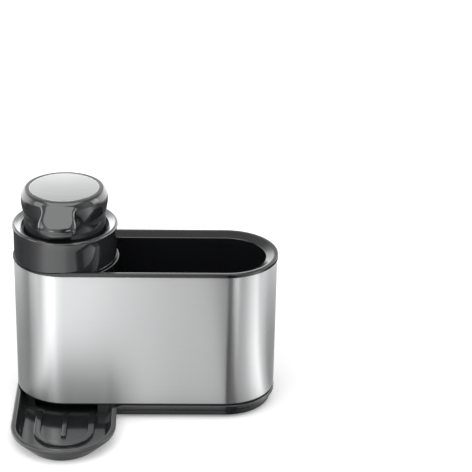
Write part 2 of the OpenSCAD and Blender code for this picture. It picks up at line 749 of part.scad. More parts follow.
module piston_stem() {
  seat_h = stem_chamber_r - stem_bore_r;
  color("#e4e6e6") at_pump() turned([
    [stem_bore_r, stem_z], [stem_flange_r, stem_z], [stem_flange_r, piston_z], [stem_r, piston_z],
    [stem_r, shoulder_z], [shoulder_r, shoulder_z], [shoulder_r, head_seat_z], [stem_r, head_seat_z],
    [stem_r, stem_top], [stem_chamber_r, stem_top], [stem_chamber_r, stem_chamber_z],
    [stem_bore_r, stem_chamber_z - seat_h]]);
}

module piston_seal() {
  waist = seal_h / 4;
  seal_r = bore_r - snug;
  color("#f0f1f1") at_pump() turned([[stem_r, piston_z], [seal_r, piston_z], [seal_r, piston_z + waist],
    [bore_r - waist, piston_z + 2 * waist], [seal_r, piston_z + 3 * waist], [seal_r, piston_top],
    [stem_r, piston_top]]);
}

module outlet_ball() {
  seat_z = stem_chamber_z - (stem_chamber_r - stem_bore_r);
  color("#c9ccce") at_pump() translate([0, 0, ball_z(seat_z, stem_bore_r, outlet_ball_r)])
    sphere(r = outlet_ball_r, $fn = fine);
}

// The head's inner part: a socket on the stem and a channel to the nozzle
module head_core() {
  bottom = head_seat_z + valve_clear;
  ceiling = plate_z - head_wall;
  socket_end = stem_top + seat_clear;
  pipe_r = channel_r + channel_wall;
  outlet_z = nose_z + head_wall;
  color("#232526") at_head() difference() {
    union() {
      translate([0, 0, bottom]) cylinder(h = ceiling - bottom, r = core_r, $fn = fine);
      translate([0, 0, ceiling - head_wall]) cylinder(h = head_wall, r = core_disc_r, $fn = fine);
      translate([0, 0, channel_z]) rotate([90, 0, 0]) cylinder(h = nozzle_reach, r = pipe_r, $fn = fine);
      translate([0, -nozzle_reach, outlet_z]) cylinder(h = channel_z - outlet_z, r = nozzle_r, $fn = fine);
      translate([0, -nozzle_reach, channel_z]) sphere(r = pipe_r, $fn = fine);
    }
    translate([0, 0, bottom - over])
      cylinder(h = over + socket_end - bottom, r = stem_r + run_clear, $fn = fine);
    translate([0, 0, bottom]) cylinder(h = channel_z - bottom, r = stem_bore_r, $fn = fine);
    translate([0, 0, channel_z]) rotate([90, 0, 0]) cylinder(h = nozzle_reach, r = channel_r, $fn = fine);
    translate([0, -nozzle_reach, nose_z]) cylinder(h = channel_z - nose_z, r = channel_r, $fn = fine);
  }
}

// The nose's form: a rounded lip and a root under the head's rim, shrunk by inset for its hollow
module nose_form(inset) {
  root_r = head_r * root_shares[0] - nose_sink;
  root_z = skirt_z + head_h * root_shares[1];
  root_t = 2 * head_wall;
  face_h = nose_face_h - 2 * inset;
  hull() {
    // Each level of the lip has a height and a setback from the tip, as shares of the front face
    for (level = nose_shares) translate([0, 0, nose_z + inset + face_h * level[0]]) linear_extrude(snug)
      nose_plan(nose_reach - inset - nose_face_h * level[1], nose_w - 2 * inset);
    translate([0, 0, root_z - root_t - inset]) linear_extrude(root_t)
      nose_plan(root_r - inset, nose_root_w - 2 * inset);
  }
}

// The nose from above: a strip towards the front, ended by an arc about the pump's axis
module nose_plan(reach, width) {
  offset(r = nose_corner_r, $fn = blend_fine) offset(delta = -nose_corner_r) intersection() {
    circle(r = reach, $fn = 2 * fine);
    translate([-width / 2, -nose_reach]) square([width, nose_reach - head_r / 2]);
  }
}

module pump_head() {
  ceiling = plate_z - head_wall;
  recess_r = plate_r + seat_clear;
  recess_z = head_top - plate_proud;
  outline = [for (p = head_shares) [head_r * p[0], skirt_z + head_h * p[1]]];
  inside = [for (p = outline) if (p[1] < ceiling - head_wall) [p[0] - head_wall, p[1]]];
  inside_foot = [[0, skirt_z - over], [inside[0][0], skirt_z - over]];
  color("#3b3e40") at_head() difference() {
    union() {
      turned(concat([[0, skirt_z]], outline, [[recess_r, recess_z], [0, recess_z]]));
      nose_form(0);
    }
    turned(concat(inside_foot, inside, [[recess_r - head_wall, ceiling], [0, ceiling]]));
    translate([0, 0, plate_z]) cylinder(h = head_wall, r = recess_r, $fn = fine);
    nose_form(head_wall);
    translate([0, -nozzle_reach, nose_z - over])
      cylinder(h = head_wall + 2 * over, r = nozzle_r + fit, $fn = fine);
  }
}

module head_plate() {
  bevel = plate_t / 4;
  color("#c3c6c7") at_head() turned([[0, plate_z], [plate_r, plate_z], [plate_r, plate_z + plate_t - bevel],
    [plate_r - bevel, plate_z + plate_t], [0, plate_z + plate_t]]);
}

module nozzle_valve() {
  lip_t = head_wall / 4;
  seat_z = nose_z + head_wall;
  color("#141515") at_head() translate([0, -nozzle_reach, 0])
    turned([[channel_r / 2, nose_z - lip_t], [nozzle_r - lip_t, nose_z - lip_t], [nozzle_r, nose_z],
            [nozzle_r, seat_z], [channel_r, seat_z], [channel_r, nose_z]]);
}

base_tray();
rubber_feet();
caddy_insert();
steel_sleeve();
sleeve_ring();
ring_screws();
soap_bottle();
pump_lid();
lid_seal();
pump_barrel();
barrel_washer();
stem_guide();
dip_tube();
ball_cage();
inlet_ball();
return_spring();
piston_stem();
piston_seal();
outlet_ball();
head_core();
pump_head();
head_plate();
nozzle_valve();
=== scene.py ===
import math
import bmesh
import bpy
from mathutils import Matrix, Vector


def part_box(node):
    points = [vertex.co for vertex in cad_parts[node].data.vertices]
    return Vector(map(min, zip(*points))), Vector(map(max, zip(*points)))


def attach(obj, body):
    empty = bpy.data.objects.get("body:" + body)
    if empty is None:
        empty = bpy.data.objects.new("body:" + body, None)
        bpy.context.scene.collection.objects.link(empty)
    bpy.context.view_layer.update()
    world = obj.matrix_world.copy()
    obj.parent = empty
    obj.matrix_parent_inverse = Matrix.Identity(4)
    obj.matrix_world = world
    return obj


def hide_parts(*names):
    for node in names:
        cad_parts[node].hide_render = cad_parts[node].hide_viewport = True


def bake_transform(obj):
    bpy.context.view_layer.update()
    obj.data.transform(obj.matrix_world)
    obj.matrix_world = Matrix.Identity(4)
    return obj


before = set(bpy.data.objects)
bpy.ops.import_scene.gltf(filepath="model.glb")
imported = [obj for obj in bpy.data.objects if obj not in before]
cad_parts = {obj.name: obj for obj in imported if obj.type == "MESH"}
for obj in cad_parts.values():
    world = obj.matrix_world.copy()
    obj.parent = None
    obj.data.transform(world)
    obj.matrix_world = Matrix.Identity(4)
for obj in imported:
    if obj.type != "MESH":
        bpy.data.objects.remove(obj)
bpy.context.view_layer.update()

mm = 0.001


# The room: a pale floor, a wall of light, softboxes and the camera. The floor shows white to the camera
# and keeps the caddy's soft shadow. What floor and wall give to glossy surfaces goes by the place round
# the caddy, so it has the caddy's two centres, the pump's and the far end's.
lowest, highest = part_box("steel_sleeve")
steel_r = (highest.y - lowest.y) / 2
centre_x, centre_y = (lowest.x + highest.x) / 2, (lowest.y + highest.y) / 2
half_run = (highest.x - lowest.x) / 2 - steel_r
pump_x, far_x = centre_x - half_run, centre_x + half_run


class Wire:
    """A socket of a material's nodes. Sums with it add Math nodes."""

    def __init__(self, finish, socket):
        self.finish, self.socket = finish, socket

    def maths(self, operation, *values):
        return self.finish.node("ShaderNodeMath", {"operation": operation}, dict(enumerate(values)))

    def __add__(self, other):
        return self.maths("ADD", self, other)

    def __sub__(self, other):
        return self.maths("SUBTRACT", self, other)

    def __rsub__(self, other):
        return self.maths("SUBTRACT", other, self)

    def __mul__(self, other):
        return self.maths("MULTIPLY", self, other)

    def __truediv__(self, other):
        return self.maths("DIVIDE", self, other)

    def __rtruediv__(self, other):
        return self.maths("DIVIDE", other, self)

    def __pow__(self, other):
        return self.maths("POWER", self, other)

    def __rpow__(self, other):
        return self.maths("POWER", other, self)

    def __gt__(self, other):
        return self.maths("GREATER_THAN", self, other)

    def __lt__(self, other):
        return self.maths("LESS_THAN", self, other)

    __radd__, __rmul__ = __add__, __mul__

    def least(self, other):
        return self.maths("MINIMUM", self, other)

    def most(self, other):
        return self.maths("MAXIMUM", self, other)

    def held(self, low=0, high=1):
        """The value, kept between two limits."""
        return self.most(low).least(high)


class Finish:
    """A material, or the world in its place: the shader, and the one method that adds any other node."""

    def __init__(self, name, kind="materials", shader="Principled BSDF", **sockets):
        self.material = getattr(bpy.data, kind).new(name)
        self.material.use_nodes = True
        self.tree = self.material.node_tree
        self.shader = self.tree.nodes[shader]
        self.feed(**sockets)

    def join(self, socket, value):
        if isinstance(value, Wire):
            self.tree.links.new(value.socket, socket)
        else:
            socket.default_value = value

    def feed(self, **sockets):
        """Sets or links sockets of the shader, with _ for each space in their names."""
        for socket, value in sockets.items():
            self.join(self.shader.inputs[socket.replace("_", " ")], value)

    def node(self, kind, settings=None, sockets=None, output=0):
        """Adds a node: its settings first, a ramp's stops among them, then its sockets' values or links."""
        node = self.tree.nodes.new(kind)
        for key, value in (settings or {}).items():
            if key == "stops":
                stops = node.color_ramp.elements
                stops[0].position, stops[1].position = value[0][0], value[-1][0]
                for at, _ in value[1:-1]:
                    stops.new(at)
                for stop, (_, level) in zip(stops, value):
                    stop.color = (level, level, level, 1)
            else:
                setattr(node, key, value)
        for key, value in (sockets or {}).items():
            self.join(node.inputs[key], value)
        return Wire(self, node.outputs[output])

    def where(self):
        """The place on the surface, in the caddy's frame."""
        return self.node("ShaderNodeTexCoord", output="Object")

    def place(self, scale=(1, 1, 1), at=(0, 0, 0)):
        """The place on the surface, moved and stretched for a pattern."""
        return self.node("ShaderNodeMapping", {}, {"Vector": self.where(), "Location": at, "Scale": scale})

    def axes(self, place):
        """The three parts of a place."""
        parts = self.node("ShaderNodeSeparateXYZ", {}, {"Vector": place}).socket.node.outputs
        return [Wire(self, part) for part in parts]

    def noise(self, vector, scale, detail=2, roughness=0.5):
        return self.node("ShaderNodeTexNoise", {},
                         {"Vector": vector, "Scale": scale, "Detail": detail, "Roughness": roughness})

    def ramp(self, factor, stops):
        return self.node("ShaderNodeValToRGB", {"stops": stops}, {"Fac": factor})

    def blend(self, factor, first, second):
        return self.node("ShaderNodeMix", {"data_type": "RGBA"}, {0: factor, 6: first, 7: second}, 2)

    def bump(self, height, strength, distance):
        return self.node("ShaderNodeBump", {}, {"Height": height, "Strength": strength, "Distance": distance})

    def sees(self, kind):
        """1 for rays of one kind, such as Glossy."""
        return self.node("ShaderNodeLightPath", output="Is " + kind + " Ray")

    def in_view(self):
        """1 for what the camera sees, straight or through something clear."""
        return self.sees("Camera").most(self.sees("Transmission"))


def grey(level):
    return (level, level, level, 1)


def gap_to_caddy(finish):
    """How far a place on the floor is from the caddy's foot or its drip tray."""
    foot_print_r, lobe_run = 34 * mm, 34 * mm
    x, y, _ = finish.axes(finish.where())
    east, north = x - x.held(pump_x, far_x), y - centre_y
    body = (east * east + north * north) ** 0.5
    east, north = x - pump_x, y - y.held(-lobe_run, lobe_run)
    lobe = (east * east + north * north) ** 0.5
    return body.least(lobe) - foot_print_r


def light_round(finish):
    """How bright the room is round the caddy: bright left of the front, fading to the right, darker behind.
    The way round runs from -1 to 1 along the front, and 6 further for each half turn about the ends."""
    most_way, most_light = 7, 2.4
    x, y, _ = finish.axes(finish.where())
    along = x.held(pump_x, far_x)
    turn_about = x.maths("ARCTAN2", x - along, centre_y - y)
    way = along / half_run + turn_about * (6 / math.pi)
    levels = [
        (-7, 0.1), (-5.2, 0.1), (-4.6, 0.1), (-3.7, 0.22), (-3.1, 0.46), (-2.7, 0.9), (-2.35, 1.45), (-1.9, 1.5),
        (-1.4, 1.42), (-1, 1.3), (-0.6, 1.05), (-0.2, 0.84), (0.4, 0.72), (0.98, 0.74), (1.06, 0.5), (1.12, 0),
        (1.58, 0), (1.66, 0.3), (1.8, 0.44), (2.4, 0.76), (2.8, 1.2), (3.3, 1.7), (3.7, 0.75), (4.3, 0.16),
        (5.2, 0.1), (7, 0.1)]
    stops = [((at + most_way) / (2 * most_way), level / most_light) for at, level in levels]
    return finish.ramp((way + most_way) / (2 * most_way), stops)


# In glossy surfaces the floor's colour and glow follow the room's light, with a painted shadow close to the caddy,
# and are of one level far behind it.
floor_finish = Finish("pale_floor", Roughness=0.9, Specular_IOR_Level=0, Emission_Strength=2.05)
_, y, _ = floor_finish.axes(floor_finish.where())
gap = gap_to_caddy(floor_finish)
# A painted shadow in the floor's reflection, darkest where the floor meets the caddy.
painted_contact_shade = (gap / (30 * mm)).held(0.2, 1)
behind = (y * 4 - 1).held() * ((gap - 0.35) / 0.3).held()
shine = floor_finish.blend(painted_contact_shade, grey(0), floor_finish.blend(behind, light_round(floor_finish), grey(0.7)))
# For the camera the floor glows, more weakly close to the caddy: painted light whitens the far floor and leaves
# painted shade round the caddy.
painted_glow = floor_finish.blend(((gap - 0.12) / 0.3).held(), grey(0.12), grey(0.4))
gloss = floor_finish.sees("Glossy")
painted_glow = floor_finish.blend(floor_finish.in_view(), grey(0), painted_glow)
# For glossy rays the floor's colour carries the painted light and painted contact shadow as well as its glow.
floor_finish.feed(Base_Color=floor_finish.blend(gloss, grey(0.86), floor_finish.blend(0.45, grey(0), shine)),
                  Emission_Color=floor_finish.blend(gloss, painted_glow, shine))
bpy.ops.object.select_all(action="DESELECT")
bpy.ops.mesh.primitive_plane_add(size=14, location=(0, 0, 0))
floor = bpy.context.object
floor.name = "floor"
floor.data.materials.append(floor_finish.material)

# The wall shows in glossy surfaces only. It is brighter low down, and brightest at the sides.
wall_r, wall_h = 2, 1.8
bpy.ops.mesh.primitive_cylinder_add(vertices=96, radius=wall_r, depth=wall_h, end_fill_type="NOTHING",
                                    location=(0, 0, wall_h / 2 + mm))
wall = bpy.context.object
wall.name = "wall"
bpy.ops.object.transform_apply(location=True, rotation=False, scale=False)
wall_finish = Finish("wall_light", Roughness=1, Specular_IOR_Level=0, Base_Color=grey(0), Emission_Strength=2.3)
x, y, z = wall_finish.axes(wall_finish.where())
front_fade = wall_finish.ramp(z / wall_h, [(0, 0.85), (0.42, 0.85), (0.57, 0.3), (1, 0.16)])
side_fade = wall_finish.ramp(z / wall_h, [(0, 0.9), (0.48, 1), (0.66, 0.45), (1, 0.15)])
aside = ((x * x) ** 0.5 * 2.5 - 0.8).held()
front_light = wall_finish.blend(aside, front_fade, side_fade)
back_light = wall_finish.blend((x * -0.4 + 0.5).held(0.5, 1), grey(0), light_round(wall_finish))
wall_finish.feed(Emission_Color=wall_finish.blend((y + 0.4).held(), back_light, front_light))
wall.data.materials.append(wall_finish.material)
wall.visible_camera = wall.visible_diffuse = wall.visible_shadow = wall.visible_transmission = False

air = Finish("studio", "worlds", "Background")
air.feed(Color=air.blend(air.in_view(), grey(0.5), grey(1)))
bpy.context.scene.world = air.material


def softbox(name, place, target, width, height, brightness):
    """An area light of an even brightness, aimed at a point."""
    lamp = bpy.data.lights.new(name, "AREA")
    lamp.shape = "RECTANGLE"
    lamp.size, lamp.size_y = width, height
    lamp.energy = brightness * math.pi * width * height
    holder = bpy.data.objects.new(name, lamp)
    bpy.context.scene.collection.objects.link(holder)
    holder.location = place
    holder.rotation_euler = (Vector(target) - Vector(place)).to_track_quat("-Z", "Y").to_euler()


softbox("top_softbox", (-0.1, -0.45, 1.2), (-0.03, -0.05, 0.1), 1.5, 1.3, 2)
softbox("left_softbox", (-1.1, -0.35, 0.55), (-0.05, 0.03, 0.1), 0.5, 0.7, 2.2)
softbox("right_softbox", (1.2, 0.1, 0.6), (0, 0.03, 0.1), 0.5, 0.7, 2)
softbox("front_lamp_left", (-0.54, -0.9, 0.24), (-0.05, 0.03, 0.1), 0.25, 0.2, 3)
softbox("front_lamp_right", (0.41, -0.9, 0.24), (-0.05, 0.03, 0.1), 0.25, 0.2, 3)

# The camera: the photograph's viewing angle, its focal length given in pixels of a picture this wide.
picture_px, focal_px = 472, 1788.95
look_at, distance = Vector((0.069928, 0.03375, 0.141197)), 1.389107
azimuth, elevation, roll = math.radians(-2.087), math.radians(25), math.radians(1.267)
lens = bpy.data.cameras.new("camera")
lens.sensor_width = 36
lens.lens = lens.sensor_width * focal_px / picture_px
lens.clip_start, lens.clip_end = 0.05, 30
camera = bpy.data.objects.new("camera", lens)
bpy.context.scene.collection.objects.link(camera)
back = Vector((math.sin(azimuth) * math.cos(elevation), -math.cos(azimuth) * math.cos(elevation),
               math.sin(elevation)))
right = Vector((math.cos(azimuth), math.sin(azimuth), 0))
up = back.cross(right)
right, up = math.cos(roll) * right + math.sin(roll) * up, math.cos(roll) * up - math.sin(roll) * right
camera.matrix_world = Matrix.Translation(look_at + back * distance) @ Matrix((right, up, back)).transposed().to_4x4()
bpy.context.scene.camera = camera
bpy.context.scene.view_settings.view_transform = "Standard"


# The base tray: moulded in one from dark grey ABS, with the drip tray's lobe under the pump's nose.
# Its rim leans out, an upstand inside carries the caddy, and a horseshoe rib lifts wet things off the floor.
lowest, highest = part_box("base_tray")
base_r = pump_x - lowest.x
lobe_y = lowest.y + base_r
base_low, base_top = lowest.z, 12.3 * mm
tray_floor = 2.6 * mm
base_lean, base_rim, floor_lean = 8.6 * mm, 3.8 * mm, 4.6 * mm
corner_r = 5 * mm
front_push, front_half_w = 2.7 * mm, 26 * mm


def rounded(corners, cuts=4, closed=False):
    """Corners as distance, height and rounding, made a line of points with each corner's arc."""
    line = []
    for i, corner in enumerate(corners):
        at = Vector(corner[:2])
        radius = corner[2] if len(corner) > 2 else 0
        if not radius or (not closed and i in (0, len(corners) - 1)):
            line.append(at)
            continue
        before = (Vector(corners[i - 1][:2]) - at).normalized()
        after = (Vector(corners[(i + 1) % len(corners)][:2]) - at).normalized()
        half = before.angle(after) / 2
        middle = at + (before + after).normalized() * radius / math.sin(half)
        start = at + before * radius / math.tan(half) - middle
        end = at + after * radius / math.tan(half) - middle
        whole = start.angle(end)
        for k in range(cuts + 1):
            share = k / cuts
            spoke = start * math.sin((1 - share) * whole) + end * math.sin(share * whole)
            line.append(middle + spoke / math.sin(whole))
    return line + line[:1] if closed else line


def arc(x, y, r, first, last, steps):
    """Points of an arc, angles in degrees."""
    angles = [math.radians(first + (last - first) * i / steps) for i in range(steps + 1)]
    return [(x + r * math.cos(a), y + r * math.sin(a)) for a in angles]


def tray_outline(d):
    """The caddy's outline with the lobe, at a distance d from its spine."""
    inner_x, inner_y = pump_x + base_r + corner_r, centre_y - base_r - corner_r
    return (arc(far_x, centre_y, d, -90, 90, 48) + arc(pump_x, centre_y, d, 90, 180, 24)
            + arc(pump_x, lobe_y, d, 180, 360, 48) + arc(inner_x, inner_y, corner_r + base_r - d, 180, 90, 12))


def pushed(x, y):
    """The lobe's front wall is steeper than its sides, so its foot lies further forward."""
    bulge = max(0, 1 - ((x - pump_x) / front_half_w) ** 2)
    return y - front_push * bulge if y < lobe_y else y


def loft(name, rings):
    """A shell through rings of points: a circle is added, then extruded from ring to ring."""
    bpy.ops.object.select_all(action="DESELECT")
    bpy.ops.mesh.primitive_circle_add(vertices=len(rings[0]), radius=mm)
    piece = bpy.context.object
    piece.name = name
    bpy.ops.object.mode_set(mode="EDIT")
    shape = bmesh.from_edit_mesh(piece.data)
    number = shape.verts.layers.int.new("place")
    for i, vert in enumerate(shape.verts):
        vert[number] = i
    bmesh.update_edit_mesh(piece.data)
    for i, ring in enumerate(rings):
        if i:
            bpy.ops.mesh.extrude_region_move()
        shape = bmesh.from_edit_mesh(piece.data)
        number = shape.verts.layers.int["place"]
        for vert in shape.verts:
            if vert.select:
                vert.co = ring[vert[number]]
        bmesh.update_edit_mesh(piece.data)
    return piece


def close_seams():
    """Merges doubles, closes open ends and turns all faces outwards."""
    bpy.ops.mesh.select_all(action="SELECT")
    bpy.ops.mesh.remove_doubles(threshold=2e-6)
    bpy.ops.mesh.fill_holes(sides=0)
    bpy.ops.mesh.normals_make_consistent(inside=False)
    bpy.ops.object.mode_set(mode="OBJECT")


def drawn(name, points):
    """A chain of edges through points: one vertex, extruded from point to point."""
    bpy.ops.object.select_all(action="DESELECT")
    bpy.ops.mesh.primitive_plane_add(size=mm)
    piece = bpy.context.object
    piece.name = name
    bpy.ops.object.mode_set(mode="EDIT")
    bpy.ops.mesh.merge(type="CENTER")
    bpy.ops.transform.translate(value=points[0])
    for first, second in zip(points, points[1:]):
        bpy.ops.mesh.extrude_region_move(TRANSFORM_OT_translate={"value": Vector(second) - Vector(first)})
    bpy.ops.mesh.select_all(action="SELECT")
    return piece


def pulled(x, y):
    """Extrudes what is selected by a level distance."""
    bpy.ops.mesh.extrude_region_move(TRANSFORM_OT_translate={"value": (x, y, 0)})


def spun(steps, degrees, x, y):
    """Extrudes what is selected round an upright axis."""
    bpy.ops.mesh.spin(steps=steps, angle=math.radians(degrees), center=(x, y, 0), axis=(0, 0, 1))


def swept(name, section):
    """A closed section swept round the caddy's outline: two straight runs and two half turns."""
    piece = drawn(name, [(pump_x, centre_y + r, z) for r, z in section])
    for side in (-1, 1):
        spun(64, -180, centre_x + side * half_run, centre_y)
        pulled(-side * 2 * half_run, 0)
    close_seams()
    return piece


def turned(name, side, x=pump_x, y=centre_y, steps=128):
    """A solid of revolution from its side's radii and heights."""
    piece = drawn(name, [(x + r, y, z) for r, z in side])
    spun(steps, 360, x, y)
    close_seams()
    return piece


def bite(piece, tool):
    """Takes one mesh out of another and removes it."""
    bpy.ops.object.select_all(action="DESELECT")
    bpy.context.view_layer.objects.active = piece
    modifier = piece.modifiers.new("bite", "BOOLEAN")
    modifier.object, modifier.operation, modifier.solver = tool, "DIFFERENCE", "EXACT"
    bpy.ops.object.modifier_apply(modifier=modifier.name)
    bpy.data.objects.remove(tool)


def cut(piece, x, y, z, half_x, half_y, half_z):
    """Takes a box out of a piece."""
    bpy.ops.object.select_all(action="DESELECT")
    bpy.ops.mesh.primitive_cube_add(size=2, location=(x, y, z), scale=(half_x, half_y, half_z))
    bite(piece, bpy.context.object)


def joined(name, *pieces):
    """One piece of several that are moulded together."""
    bpy.ops.object.select_all(action="DESELECT")
    for piece in pieces:
        piece.select_set(True)
    bpy.context.view_layer.objects.active = pieces[0]
    bpy.ops.object.join()
    pieces[0].name = name
    return pieces[0]


def smoothed(piece, degrees=30):
    """Shades a piece smooth up to an angle between its faces."""
    bpy.ops.object.select_all(action="DESELECT")
    piece.select_set(True)
    bpy.context.view_layer.objects.active = piece
    bpy.ops.object.shade_smooth_by_angle(angle=math.radians(degrees))
    return piece


inner_r = base_r - base_rim
tray_side = rounded([
    (base_r - base_lean, base_low), (base_r - 0.2 * mm, base_top - 3.2 * mm, 1.2 * mm), (base_r, base_top, 0.7 * mm),
    (inner_r, base_top, 0.6 * mm), (inner_r - floor_lean, tray_floor, 1.2 * mm),
    (inner_r - floor_lean - 2.5 * mm, tray_floor)])
rings = [[(x, y, z) for x, y in tray_outline(d)] for d, z in tray_side]
rings[0] = [(x, pushed(x, y), z) for x, y, z in rings[0]]
tray = loft("base_shell", rings)
close_seams()

# The upstand is open towards the lobe.
upstand_r, upstand_t, upstand_top = 37.2 * mm, 2 * mm, 16.2 * mm
upstand_in_r, opening_half_w = upstand_r - upstand_t, 25 * mm
upstand = swept("upstand", rounded([
    (upstand_in_r, tray_floor), (upstand_r, tray_floor), (upstand_r, upstand_top, 0.4 * mm),
    (upstand_in_r, upstand_top, 0.4 * mm)], 2, True))
cut(upstand, pump_x, centre_y - 30 * mm, 12 * mm, opening_half_w, 20 * mm, 8 * mm)

shoe_r, shoe_w, rib_top = 23.6 * mm, 5.8 * mm, 4.8 * mm
shoe_y, spine_half_w = lobe_y + 4.3 * mm, 2.5 * mm
spine_y = lobe_y - 5 * mm + spine_half_w
rib_end = centre_y - upstand_in_r


def rib(name, section, bend_y, steps):
    """A rib on the tray's floor that runs out to the front, turns round the lobe's middle and comes back."""
    piece = drawn(name, [(pump_x - r, rib_end, z) for r, z in section])
    pulled(0, bend_y - rib_end)
    spun(steps, -180, pump_x, bend_y)
    pulled(0, rib_end - bend_y)
    close_seams()
    return piece


horseshoe = rib("horseshoe_rib", rounded([
    (shoe_r, tray_floor), (shoe_r - 0.4 * mm, rib_top, 0.5 * mm), (shoe_r - shoe_w + 0.4 * mm, rib_top, 0.5 * mm),
    (shoe_r - shoe_w, tray_floor)], 3, True), shoe_y, 48)
middle_rib = rib("middle_rib", rounded([
    (0, tray_floor), (spine_half_w, tray_floor), (spine_half_w - 0.4 * mm, rib_top, 0.9 * mm),
    (0, rib_top)], 4), spine_y, 24)


def toned(colour, share):
    """A lighter or darker tone of a colour."""
    return tuple(min(part * share, 1) for part in colour) + (1,)


def moulded(name, colour, roughness, grain=0.02, coat=0.0, polish=None):
    """A moulded plastic: a faint orange peel, fine grain, and a little unevenness in colour and gloss.
    Its clear gloss is the same all over, or goes by place where polish gives it."""
    finish = Finish(name, IOR=1.5, Coat_Weight=coat, Coat_Roughness=0.11)
    place = finish.place()
    cloud, fine, peel = finish.noise(place, 60, 3), finish.noise(place, 2600), finish.noise(place, 420)
    finish.feed(Base_Color=finish.blend(cloud, toned(colour, 0.86), toned(colour, 1.12)),
                Roughness=roughness + (cloud - 0.5) * 0.1 + (fine - 0.5) * 0.06,
                Normal=finish.bump(peel * 0.6 + fine * 0.4, grain, 0.2 * mm))
    if polish:
        finish.feed(Coat_Weight=polish(finish))
    return finish.material


base = smoothed(joined("drip_tray_base", tray, upstand, horseshoe, middle_rib))
base.data.materials.append(moulded("base_plastic", (0.018, 0.019, 0.02), 0.17, 0.01, 1))
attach(base, "base")
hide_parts("base_tray")


# The rubber feet: five soft pads pressed into pockets under the base, with a rounded edge and two grooves.
# They keep the caddy from sliding and hold the plastic off the wet worktop.
foot_r, foot_top, groove = 6 * mm, 1.6 * mm, 0.3 * mm
foot_side = rounded([
    (0, foot_top), (foot_r, foot_top), (foot_r, 0, 0.4 * mm), (4.6 * mm, 0, 0.1 * mm), (4.4 * mm, groove, 0.1 * mm),
    (3.9 * mm, groove, 0.1 * mm), (3.7 * mm, 0, 0.1 * mm), (2.4 * mm, 0, 0.1 * mm), (2.2 * mm, groove, 0.1 * mm),
    (1.7 * mm, groove, 0.1 * mm), (1.5 * mm, 0, 0.1 * mm), (0, 0)], 3)
foot_half_x, foot_half_y = 72.4 * mm, 17 * mm
foot_places = [(centre_x + sx * foot_half_x, centre_y + sy * foot_half_y) for sx in (-1, 1) for sy in (-1, 1)]
foot_places.append((pump_x, lobe_y - 16 * mm))
feet = [turned("foot", foot_side, foot_x, foot_y, 48) for foot_x, foot_y in foot_places]
rubber = Finish("rubber", Specular_IOR_Level=0.3)
dust = rubber.noise(rubber.place(), 900, 4)
rubber.feed(Base_Color=rubber.blend(dust, (0.01, 0.01, 0.011, 1), (0.03, 0.03, 0.032, 1)),
            Roughness=0.66 + dust * 0.2, Normal=rubber.bump(dust, 0.1, 0.2 * mm))
pads = smoothed(joined("rubber_pads", *feet))
pads.data.materials.append(rubber.material)
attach(pads, "base")
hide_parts("rubber_feet")


# The caddy insert: one moulding of dark grey ABS, with the sloped rim, the sponge compartment and the
# bottle's well. A short rib under the rim grips the steel from inside, and four bosses take the ring's screws.
steel_low, steel_top = [corner.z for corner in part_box("steel_sleeve")]
lowest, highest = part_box("caddy_insert")
rim_top, insert_low = highest.z, lowest.z
rim_r = pump_x - lowest.x
rim_w, rim_drop, rim_t = 9.6 * mm, 3.1 * mm, 2.2 * mm
mouth_r, mouth_top = rim_r - rim_w, rim_top - rim_drop
tub_wall, tub_draft, tub_floor = 2 * mm, 1 * mm, insert_low + 2 * mm
grip_r, grip_in_r, grip_low = steel_r - 0.7 * mm, steel_r - 2.2 * mm, steel_top - 5 * mm
grip_top = mouth_top - rim_t + rim_drop / rim_w * (grip_in_r - mouth_r)
well_r, well_out_r = 37 * mm, 38.6 * mm
lip_top = steel_top + 1 * mm
band_r = 39.8 * mm
insert = swept("insert_body", rounded([
    (0, insert_low), (mouth_r + tub_wall - tub_draft, insert_low, 1.5 * mm),
    (mouth_r + tub_wall, mouth_top - rim_t, 0.6 * mm), (grip_in_r, grip_top, 0.4 * mm),
    (grip_in_r, grip_low, 0.3 * mm), (grip_r, grip_low, 0.5 * mm), (grip_r, steel_top),
    (rim_r, steel_top, 0.25 * mm), (rim_r, rim_top, 0.75 * mm), (rim_r - 3 * mm, rim_top - 0.12 * mm, 4 * mm),
    (mouth_r, mouth_top, 0.8 * mm), (mouth_r - tub_draft, tub_floor, 3 * mm), (0, tub_floor)], 5))


def drum(r, low, high):
    """A round cutter about the pump's axis, between two heights."""
    bpy.ops.object.select_all(action="DESELECT")
    bpy.ops.mesh.primitive_cylinder_add(vertices=180, radius=r, depth=high - low,
                                        location=(pump_x, centre_y, (low + high) / 2))
    return bpy.context.object


# The rim ends in a slope beside the bottle: two drums clear the bottle's room, and a wedge the rim round it.
over = rim_top + 5 * mm
bite(insert, drum(well_r + 0.8 * mm, tub_floor + 0.02 * mm, over))
bite(insert, drum(band_r + 0.2 * mm, lip_top, over))
slope_top_x, slope_run, wedge_reach = pump_x + 2 * mm, 23 * mm, 60 * mm
slope_low, wedge_left, wedge_top = lip_top + 0.02 * mm, pump_x - wedge_reach, rim_top + 9 * mm
wedge_side = [(wedge_left, slope_low), (slope_top_x - slope_run, slope_low), (slope_top_x, rim_top + 0.1 * mm),
              (slope_top_x, wedge_top), (wedge_left, wedge_top)]
wedge = loft("wedge", [[(x, centre_y + side * wedge_reach, z) for x, z in wedge_side] for side in (-1, 1)])
close_seams()
bite(insert, wedge)

# Five slots drain the compartment's floor.
slot_x, slot_step = (pump_x + well_out_r + far_x + mouth_r) / 2, 11 * mm
slot_half_w, slot_half_run = 2 * mm, 14 * mm
for i in (-2, -1, 0, 1, 2):
    cut(insert, slot_x + i * slot_step, centre_y, insert_low + 1 * mm, slot_half_w, slot_half_run, 3 * mm)

